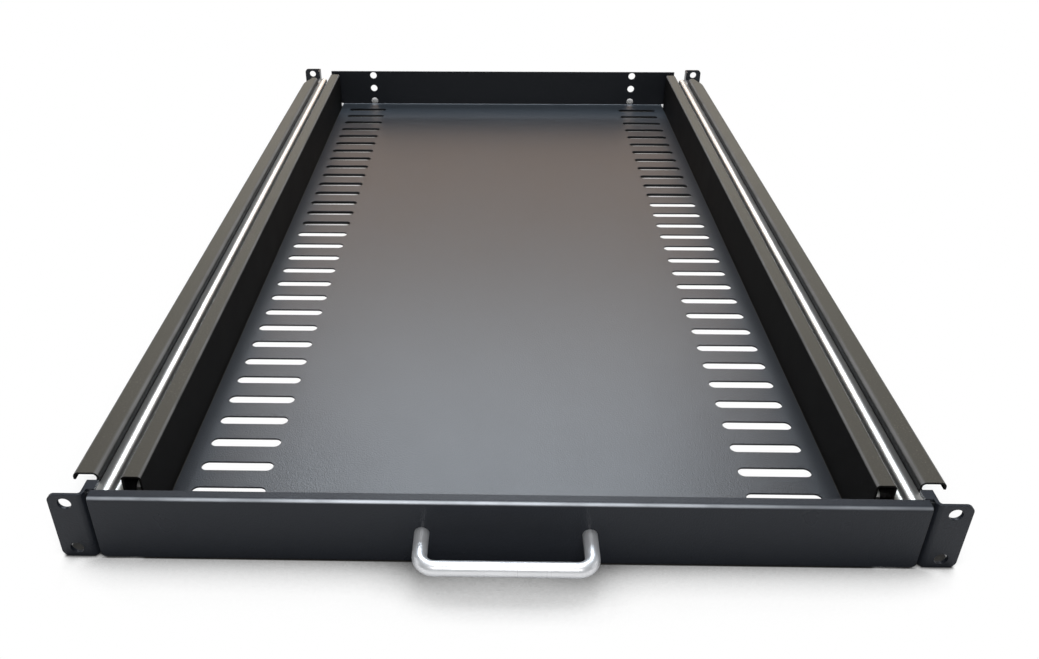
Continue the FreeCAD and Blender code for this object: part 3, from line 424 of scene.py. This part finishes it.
def makeZinc(name, dial):
    material, tree, shader, place = newMaterial(name)
    soft, true = bothNormals(tree, dial["edgeRadius"])
    rolled = useGroup(tree, rolledStreaks, Vector=place)
    color = mixColor(tree, rise(tree, rolled["Cloud"], cloudSpan), dial["base"], dial["tint"])
    spot, facing = axes(tree, place), axes(tree, true)
    race = fall(tree, times(tree, spot[2], facing[2]), dial["innerFaceSpan"])
    web = fall(tree, times(tree, spot[0], facing[0]), dial["innerFaceSpan"])
    web = times(tree, web, fall(tree, calc(tree, "ABSOLUTE", spot[2]), dial["webHeights"]))
    innerFaces = calc(tree, "MAXIMUM", race, web)
    feed(tree, mixColor(tree, innerFaces, color, dial["innerFaceColor"]), shader.inputs["Base Color"])
    rough = roughFrom(tree, rolled["Streak"], dial)
    rough = calc(tree, "ADD", rough, times(tree, innerFaces, dial["innerFaceRough"]), clamp=True)
    feed(tree, rough, shader.inputs["Roughness"])
    shader.inputs["Metallic"].default_value = 1.0
    addBump(tree, shader, rolled["Streak"], dial["streakStrength"], dial["streakDistance"], soft)
    return material


satinHandle = {
    "base": (0.85, 0.855, 0.87, 1.0),
    "tint": (0.79, 0.795, 0.81, 1.0),
    "metal": 0.7,  # the rest is a matt bloom
    "roughLow": 0.34,
    "roughHigh": 0.42,
    "cloud": 40.0,
    "grain": 3200.0,
    "grainStrength": 0.06,
    "grainDistance": 0.0002,
    "scratchAmount": 0.4,
    "scratchColor": (0.4, 0.4, 0.41, 1.0),
}


def makeHandleMetal(name, dial):
    material, tree, shader, place = newMaterial(name)
    grain = noise(tree, place, dial["grain"], 2.0)
    cloud = noise(tree, place, dial["cloud"], 3.0)
    scratch = useGroup(tree, strayScratches, Vector=place, Amount=dial["scratchAmount"])["Mask"]
    color = mixColor(tree, rise(tree, cloud, cloudSpan), dial["base"], dial["tint"])
    feed(tree, mixColor(tree, scratch, color, dial["scratchColor"]), shader.inputs["Base Color"])
    feed(tree, roughFrom(tree, grain, dial), shader.inputs["Roughness"])
    shader.inputs["Metallic"].default_value = dial["metal"]
    addBump(tree, shader, grain, dial["grainStrength"], dial["grainDistance"])
    return material


ballSteel = {
    "base": (0.74, 0.74, 0.75, 1.0),
    "tint": (0.62, 0.62, 0.64, 1.0),
    "roughLow": 0.06,
    "roughHigh": 0.16,
    "cloud": 700.0,
}


def makeBallSteel(name, dial):
    material, tree, shader, place = newMaterial(name)
    cloud = noise(tree, place, dial["cloud"], 3.0)
    feed(tree, mixColor(tree, cloud, dial["base"], dial["tint"]), shader.inputs["Base Color"])
    feed(tree, roughFrom(tree, cloud, dial), shader.inputs["Roughness"])
    shader.inputs["Metallic"].default_value = 1.0
    return material


bumperRubber = {
    "base": (0.012, 0.012, 0.012, 1.0),
    "tint": (0.03, 0.03, 0.03, 1.0),
    "roughLow": 0.7,
    "roughHigh": 0.9,
    "grain": 1500.0,
    "grainStrength": 0.2,
    "grainDistance": 0.0003,
}


def makeRubber(name, dial):
    material, tree, shader, place = newMaterial(name)
    grain = noise(tree, place, dial["grain"], 3.0)
    feed(tree, mixColor(tree, grain, dial["base"], dial["tint"]), shader.inputs["Base Color"])
    feed(tree, roughFrom(tree, grain, dial), shader.inputs["Roughness"])
    addBump(tree, shader, grain, dial["grainStrength"], dial["grainDistance"])
    return material


finishes = {
    "black_coat": makeCoat("blackPowderCoat", blackCoat),
    "zinc_steel": makeZinc("zincPlate", zincPlate),
    "ball_steel": makeBallSteel("ballSteel", ballSteel),
    "handle_metal": makeHandleMetal("satinHandle", satinHandle),
    "bumper_rubber": makeRubber("bumperRubber", bumperRubber),
}
slotOf = {row["node"]: row["material_slot"] for row in frame["record"]["subparts"]}
sideFinish = makeCoat("sidePowderCoat", railCoat)
frontFinish = makeCoat("frontPowderCoat", frontCoat)
for name, node in nodes.items():
    finish = finishes[slotOf[name]]
    if name.endswith(("_rail", "_tray_channel")):
        finish = sideFinish
    if name == "front_panel" or name.endswith("_ear"):
        finish = frontFinish
    for slot in node.material_slots:
        slot.material = finish
print("finishes on", len(nodes), "nodes")


# fasteners: chamfered nuts, threaded studs, screws with cross recesses

turnSteps = {"nut": 36, "screw": 36, "washer": 40, "thread": 20}


def turnProfile(profile, steps, closed=False):  # (radius, height) points turned round z
    shape = bmesh.new()
    line = [shape.verts.new((radius, 0.0, height)) for radius, height in profile]
    pairs = list(zip(line, line[1:])) + ([(line[-1], line[0])] if closed else [])
    edges = [shape.edges.new(pair) for pair in pairs]
    bmesh.ops.spin(shape, geom=line + edges, cent=(0.0, 0.0, 0.0), axis=(0.0, 0.0, 1.0),
                   dvec=(0.0, 0.0, 0.0), angle=2.0 * math.pi, steps=steps, use_merge=True)
    bmesh.ops.remove_doubles(shape, verts=shape.verts[:], dist=1e-7)
    return shape


def cutFlat(shape, point, normal):  # removes what lies beyond a plane and closes the cut
    cut = bmesh.ops.bisect_plane(shape, geom=shape.verts[:] + shape.edges[:] + shape.faces[:], dist=1e-8,
                                 plane_co=point, plane_no=normal, clear_outer=True)
    rim = [item for item in cut["geom_cut"] if isinstance(item, bmesh.types.BMEdge)]
    bmesh.ops.edgenet_fill(shape, edges=rim)


nutShape = {"lead": 0.0004, "flatShare": 0.95, "chamfer": 30.0}  # into the bore, and round the face
earNut = dict(nutShape, flats=0.008, height=0.004, bore=0.00245)
slideNut = dict(nutShape, flats=0.007, height=0.0032, bore=0.00195)


def hexNut(dial):  # turned with chamfers first, then its six flats are cut
    half, corner = dial["flats"] / 2.0, dial["flats"] / math.sqrt(3.0)
    high, bore, lead, flat = dial["height"], dial["bore"], dial["lead"], half * dial["flatShare"]
    slope = (corner - flat) * math.tan(math.radians(dial["chamfer"]))
    profile = [(bore, lead), (bore + lead, 0.0), (flat, 0.0), (corner, slope),
               (corner, high - slope), (flat, high), (bore + lead, high), (bore, high - lead)]
    shape = turnProfile(profile, turnSteps["nut"], closed=True)
    for side in range(6):
        angle = math.radians(60.0 * side)
        normal = Vector((math.cos(angle), math.sin(angle), 0.0))
        cutFlat(shape, normal * half, normal)
    return shape


earStud = {
    "radius": 0.0025, "length": 0.0095, "pitch": 0.0008, "tip": 0.0005,
    "thread": ((0.0, 0.55), (0.12, 0.55), (0.45, 0.0), (0.6, 0.0)),  # height and depth, in pitches
}


def threadedStud(dial):  # a zigzag line turned once while it climbs one pitch
    shape = bmesh.new()
    pitch, steps = dial["pitch"], turnSteps["thread"]
    line = []
    for turn in range(-2, int(dial["length"] / pitch) + 2):
        for share, depth in dial["thread"]:
            line.append(shape.verts.new((dial["radius"] - depth * pitch, 0.0, (turn + share) * pitch)))
    edges = [shape.edges.new(pair) for pair in zip(line, line[1:])]
    bmesh.ops.spin(shape, geom=line + edges, cent=(0.0, 0.0, 0.0), axis=(0.0, 0.0, 1.0),
                   dvec=(0.0, 0.0, pitch / steps), angle=2.0 * math.pi, steps=steps, use_merge=False)
    bmesh.ops.remove_doubles(shape, verts=shape.verts[:], dist=1e-6)
    cutFlat(shape, (0.0, 0.0, 0.0), (0.0, 0.0, -1.0))
    cutFlat(shape, (0.0, 0.0, dial["length"] - dial["tip"]), (0.0, 0.0, 1.0))
    bmesh.ops.recalc_face_normals(shape, faces=shape.faces[:])
    top = max(shape.faces, key=lambda face: face.calc_center_median().z)
    bmesh.ops.inset_region(shape, faces=[top], thickness=dial["tip"], depth=dial["tip"])
    return shape


panScrew = {
    "top": 0.0022, "flat": 0.0023, "shank": 0.002, "length": 0.0056, "point": 0.0005,
    "arm": 0.0019, "armWidth": 0.2, "deep": 0.0012, "taper": 0.6,  # of the cross recess
    "head": [(0.0030, 0.00195), (0.0035, 0.0015), (0.00375, 0.0009), (0.00365, 0.0), (0.002, 0.0)],
}
sunkScrew = dict(panScrew, top=0.0, flat=0.0024,
                 head=[(0.00362, 0.0), (0.00375, -0.0001), (0.002, -0.00185)])
handleScrew = dict(panScrew, length=0.0123)


def crossScrew(dial):  # head at z 0 and up, or sunk below 0, with a tapered cross recess
    top, shank, length, point = dial["top"], dial["shank"], dial["length"], dial["point"]
    profile = [(dial["flat"], top)] + dial["head"]
    profile += [(shank, -length + point), (shank - point, -length), (0.0, -length)]
    shape = turnProfile(profile, turnSteps["screw"])
    arm, half = dial["arm"], dial["arm"] * dial["armWidth"]
    corners = []
    for turn in range(4):
        spot = Matrix.Rotation(math.radians(90.0 * turn), 3, "Z")
        corners += [spot @ Vector((x, y, top)) for x, y in ((half, half), (half, arm), (-half, arm))]
    cross = [shape.verts.new(place) for place in corners]
    lips = [shape.edges.new(pair) for pair in zip(cross, cross[1:] + cross[:1])]
    rim = [edge for edge in shape.edges if edge.is_boundary]
    bmesh.ops.bridge_loops(shape, edges=rim + lips)
    deep = bmesh.ops.extrude_edge_only(shape, edges=lips)["geom"]
    low = [item for item in deep if isinstance(item, bmesh.types.BMVert)]
    bmesh.ops.scale(shape, verts=low, vec=(dial["taper"], dial["taper"], 1.0))
    bmesh.ops.translate(shape, verts=low, vec=(0.0, 0.0, -dial["deep"]))
    bmesh.ops.edgenet_fill(shape, edges=[item for item in deep if isinstance(item, bmesh.types.BMEdge)
                                         and item.verts[0] in low and item.verts[1] in low])
    return shape


handleWasher = {"radius": 0.00475, "bore": 0.0021, "height": 0.0008, "soft": 0.00015}


def flatWasher(dial):
    inner, outer, high, soft = dial["bore"], dial["radius"], dial["height"], dial["soft"]
    profile = [(inner, soft), (inner + soft, 0.0), (outer - soft, 0.0), (outer, soft),
               (outer, high - soft), (outer - soft, high), (inner + soft, high), (inner, high - soft)]
    return turnProfile(profile, turnSteps["washer"], closed=True)


fastenDial = {
    "twist": 37.0,  # each next copy is turned by this, so that they don't all line up
    "sharp": 28.0,
    "earNut": 0.2239, "earStud": 0.2207,  # how far out they start, from the middle of the shelf
    "outerNut": 0.2219, "outerScrew": 0.2195, "innerNut": 0.2068, "innerScrew": 0.2092,
    "frontDepths": (0.028, 0.056), "rearDepths": (0.605, 0.675),
    "outerDepths": (0.112, 0.317, 0.522), "innerDepths": (0.0303, 0.3603, 0.6903),
    "handleSides": (-0.04445, 0.04445), "handleHeight": 0.0002,
    "handleScrew": -0.0002, "handleWasher": -0.001,
}


def fasten(node, body, shape, places):  # a copy at each (point, direction), standing for the node
    bmesh.ops.recalc_face_normals(shape, faces=shape.faces[:])
    one = bpy.data.meshes.new(node + "One")
    shape.to_mesh(one)
    shape.free()
    whole = bmesh.new()
    for index, (point, direction) in enumerate(places):
        count = len(whole.verts)
        whole.from_mesh(one)
        whole.verts.ensure_lookup_table()
        twist = Matrix.Rotation(math.radians(fastenDial["twist"] * index), 4, "Z")
        turn = Vector(direction).to_track_quat("Z", "Y").to_matrix().to_4x4()
        move = Matrix.Translation(point) @ turn @ twist
        bmesh.ops.transform(whole, matrix=move, verts=whole.verts[count:])
    mesh = bpy.data.meshes.new(node + "Detail")
    whole.to_mesh(mesh)
    whole.free()
    bpy.data.meshes.remove(one)
    mesh.shade_smooth()
    mesh.set_sharp_from_angle(angle=math.radians(fastenDial["sharp"]))
    piece = bpy.data.objects.new(node + "Detail", mesh)
    bpy.context.scene.collection.objects.link(piece)
    mesh.materials.append(finishes[slotOf[node]])
    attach(piece, body)
    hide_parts(node)


def alongSides(kind, depths, outward):  # the same places on the left and the right, on the slide's axis
    return [((side * fastenDial[kind], depth, 0.0), (side * outward, 0.0, 0.0))
            for side in (-1, 1) for depth in fastenDial[depths]]


def behindPanel(kind):
    return [((side, fastenDial[kind], fastenDial["handleHeight"]), (0, 1, 0))
            for side in fastenDial["handleSides"]]


for place in ("front", "rear"):
    depths = place + "Depths"
    fasten(place + "_ear_nuts", "rack_frame", hexNut(earNut), alongSides("earNut", depths, 1))
    fasten(place + "_ear_studs", "rack_frame", threadedStud(earStud), alongSides("earStud", depths, 1))
fasten("slide_outer_nuts", "rack_frame", hexNut(slideNut), alongSides("outerNut", "outerDepths", 1))
fasten("slide_outer_screws", "rack_frame", crossScrew(sunkScrew),
       alongSides("outerScrew", "outerDepths", -1))
fasten("slide_inner_nuts", "tray", hexNut(slideNut), alongSides("innerNut", "innerDepths", -1))
fasten("slide_inner_screws", "tray", crossScrew(panScrew), alongSides("innerScrew", "innerDepths", 1))
fasten("handle_screws", "tray", crossScrew(handleScrew), behindPanel("handleScrew"))
fasten("handle_washers", "tray", flatWasher(handleWasher), behindPanel("handleWasher"))
print("fasteners in place")


# stage: floor, lights, camera

floorDial = {
    "half": 6.0,
    "rough": 0.9,
    "color": (0.62, 0.62, 0.62, 1.0),
    "shadeColor": (0.05, 0.048, 0.045, 1.0),
    "shadeReach": 0.10,  # pieces nearer than this shade the floor
    "shadeSamples": 16,
    "whiteOpen": (0.40, 0.74),  # between these shares of open sky the shadow fades into plain white
    "mirrorOpen": (0.65, 0.94),  # the same for what glossy pieces mirror
    "coverOpen": (0.35, 0.75),  # and between these the floor's colour is painted dark, a painted shade as under the tray
    "dimSpots": [  # painted shade: where low holes look down on the floor its colour is painted dark, unless that much sky is open
        {"sideways": (0.148, 0.168), "along": (0.742, 0.778), "open": (0.74, 0.86)},
        {"sideways": (0.2225, 0.2405), "along": (-0.003, 0.014), "open": (0.74, 0.86)},
    ],
    "dimFade": 0.001,
    "slotLight": (0.439, 0.209),  # painted light: under the tray the floor glows white in front of this slanted line
    "slotFade": (0.0, 0.01),
    "slotSides": (0.19, 0.195),
    "slotFront": (0.01, 0.02),
}


def makeFloor(dial):
    mesh = bpy.data.meshes.new("studioFloor")
    shape = bmesh.new()
    bmesh.ops.create_grid(shape, x_segments=1, y_segments=1, size=dial["half"])
    bmesh.ops.translate(shape, verts=shape.verts, vec=(0.0, 0.0, cadBox[0][2]))
    shape.to_mesh(mesh)
    shape.free()
    floor = bpy.data.objects.new("studioFloor", mesh)
    bpy.context.scene.collection.objects.link(floor)
    material, tree, shader, place = newMaterial("paleFloor")
    shader.inputs["Roughness"].default_value = dial["rough"]
    shader.inputs["Specular IOR Level"].default_value = 0.0
    shade = addNode(tree, "ShaderNodeAmbientOcclusion", samples=dial["shadeSamples"])
    shade.inputs["Distance"].default_value = dial["shadeReach"]
    sky = shade.outputs["AO"]
    side, depth = axes(tree, place)[:2]
    aside = calc(tree, "ABSOLUTE", side)
    dim, fade = 0.0, dial["dimFade"]
    for spot in dial["dimSpots"]:
        area = fall(tree, sky, spot["open"])
        for where, (low, high) in ((aside, spot["sideways"]), (depth, spot["along"])):
            area = times(tree, area, rise(tree, where, (low - fade, low + fade)))
            area = times(tree, area, fall(tree, where, (high - fade, high + fade)))
        dim = calc(tree, "MAXIMUM", dim, area)
    # painted shade: the floor's colour goes dark where it is covered, and in the dim spots
    covered = calc(tree, "MAXIMUM", fall(tree, sky, dial["coverOpen"]), dim)
    feed(tree, mixColor(tree, covered, dial["color"], dial["shadeColor"]), shader.inputs["Base Color"])
    # painted light: the floor under the front of the tray glows white in front of the slanted line
    lineStart, lineSlope = dial["slotLight"]
    line = calc(tree, "ADD", times(tree, side, lineSlope), lineStart)
    front = rise(tree, calc(tree, "SUBTRACT", line, depth), dial["slotFade"])
    inside = times(tree, fall(tree, aside, dial["slotSides"]), rise(tree, depth, dial["slotFront"]))
    around = calc(tree, "MAXIMUM", rise(tree, sky, dial["whiteOpen"]), times(tree, front, inside))
    around = times(tree, around, calc(tree, "SUBTRACT", 1.0, dim))
    path = addNode(tree, "ShaderNodeLightPath").outputs
    direct = calc(tree, "ADD", path["Is Camera Ray"], path["Is Transmission Ray"], clamp=True)
    mirrored = times(tree, path["Is Glossy Ray"], rise(tree, sky, dial["mirrorOpen"]))
    white = calc(tree, "ADD", times(tree, direct, around), mirrored, clamp=True)
    glow = addNode(tree, "ShaderNodeEmission")
    glow.inputs["Strength"].default_value = 1.0
    blend = addNode(tree, "ShaderNodeMixShader")
    feed(tree, white, blend.inputs[0])
    feed(tree, shader.outputs[0], blend.inputs[1])
    feed(tree, glow.outputs[0], blend.inputs[2])
    feed(tree, blend.outputs[0], tree.nodes["Material Output"].inputs["Surface"])
    mesh.materials.append(material)


lampDials = {
    "keyOverhead": {"place": (0.0, 0.3, 2.3), "aim": (0.0, 0.3, 0.0), "size": (0.8, 0.45),
                    "radiance": 13.5, "color": (0.97, 0.985, 1.0)},
    "coolBack": {"place": (0.0, 1.95, 1.95), "aim": (0.0, 0.1, 0.0), "size": (1.6, 1.3),
                 "radiance": 7.3, "color": (0.80, 0.90, 1.0)},
    "warmBack": {"place": (0.0, 2.3, 0.95), "aim": (0.0, 0.3, 0.0), "size": (2.0, 1.7),
                 "radiance": 0.94, "color": (1.0, 0.66, 0.42)},
    "leftFill": {"place": (-2.2, 0.2, 0.9), "aim": (0.0, 0.35, 0.0), "size": (1.2, 0.7),
                 "radiance": 1.3, "color": (1.0, 1.0, 1.0)},
    "rightFill": {"place": (2.2, 0.2, 0.9), "aim": (0.0, 0.35, 0.0), "size": (1.2, 0.7),
                  "radiance": 1.3, "color": (1.0, 1.0, 1.0)},
    "frontLamp": {"place": (0.05, -0.85, 1.05), "aim": (0.0, 0.1, 0.0), "size": (0.5, 0.36),
                  "radiance": 10.5, "color": (1.0, 1.0, 1.0)},
}


def makeLamp(name, dial):
    lamp = bpy.data.lights.new(name, "AREA")
    lamp.shape = "RECTANGLE"
    lamp.size, lamp.size_y = dial["size"]
    lamp.energy = dial["radiance"] * math.pi * lamp.size * lamp.size_y
    lamp.color = dial["color"]
    thing = bpy.data.objects.new(name, lamp)
    thing.location = dial["place"]
    thing.rotation_euler = (Vector(dial["aim"]) - Vector(dial["place"])).to_track_quat("-Z", "Y").to_euler()
    thing.visible_camera = False
    bpy.context.scene.collection.objects.link(thing)


worldDial = {
    "color": (0.93, 0.965, 1.0, 1.0),
    "white": (1.0, 1.0, 1.0, 1.0),
    "lit": 0.2,
    "horizon": (0.08, 0.22),  # metal mirrors the white backdrop up to here, and the dim room above it
}


def makeWorld(dial):
    world = bpy.data.worlds.new("studioWorld")
    bpy.context.scene.world = world
    world.use_nodes = True
    tree = world.node_tree
    back = tree.nodes["Background"]
    height = axes(tree, addNode(tree, "ShaderNodeTexCoord").outputs["Generated"])[2]
    path = addNode(tree, "ShaderNodeLightPath").outputs
    seen = calc(tree, "ADD", path["Is Camera Ray"], path["Is Transmission Ray"])
    mirrored = times(tree, path["Is Glossy Ray"], fall(tree, height, dial["horizon"]))
    seen = calc(tree, "ADD", seen, mirrored, clamp=True)
    feed(tree, mixColor(tree, seen, dial["color"], dial["white"]), back.inputs["Color"])
    feed(tree, remap(tree, seen, (0.0, 1.0), dial["lit"], 1.0), back.inputs["Strength"])


cameraDial = {
    "place": (-0.006717, -0.359979, 0.357106),
    "turn": (59.6887, 0.1484, 1.1741),
    "lens": 31.967,
    "sensor": 36.0,
    "shift": (0.04048, -0.0371),
    "near": 0.01,
}


def makeCamera(dial):
    data = bpy.data.cameras.new("photoCamera")
    data.sensor_fit = "HORIZONTAL"
    data.sensor_width = dial["sensor"]
    data.lens = dial["lens"]
    data.shift_x, data.shift_y = dial["shift"]
    data.clip_start = dial["near"]
    thing = bpy.data.objects.new("photoCamera", data)
    thing.location = dial["place"]
    thing.rotation_euler = [math.radians(angle) for angle in dial["turn"]]
    bpy.context.scene.collection.objects.link(thing)
    bpy.context.scene.camera = thing


makeFloor(floorDial)
for name, dial in lampDials.items():
    makeLamp(name, dial)
makeWorld(worldDial)
makeCamera(cameraDial)
bpy.context.scene.view_settings.view_transform = "Standard"
print("stage ready")
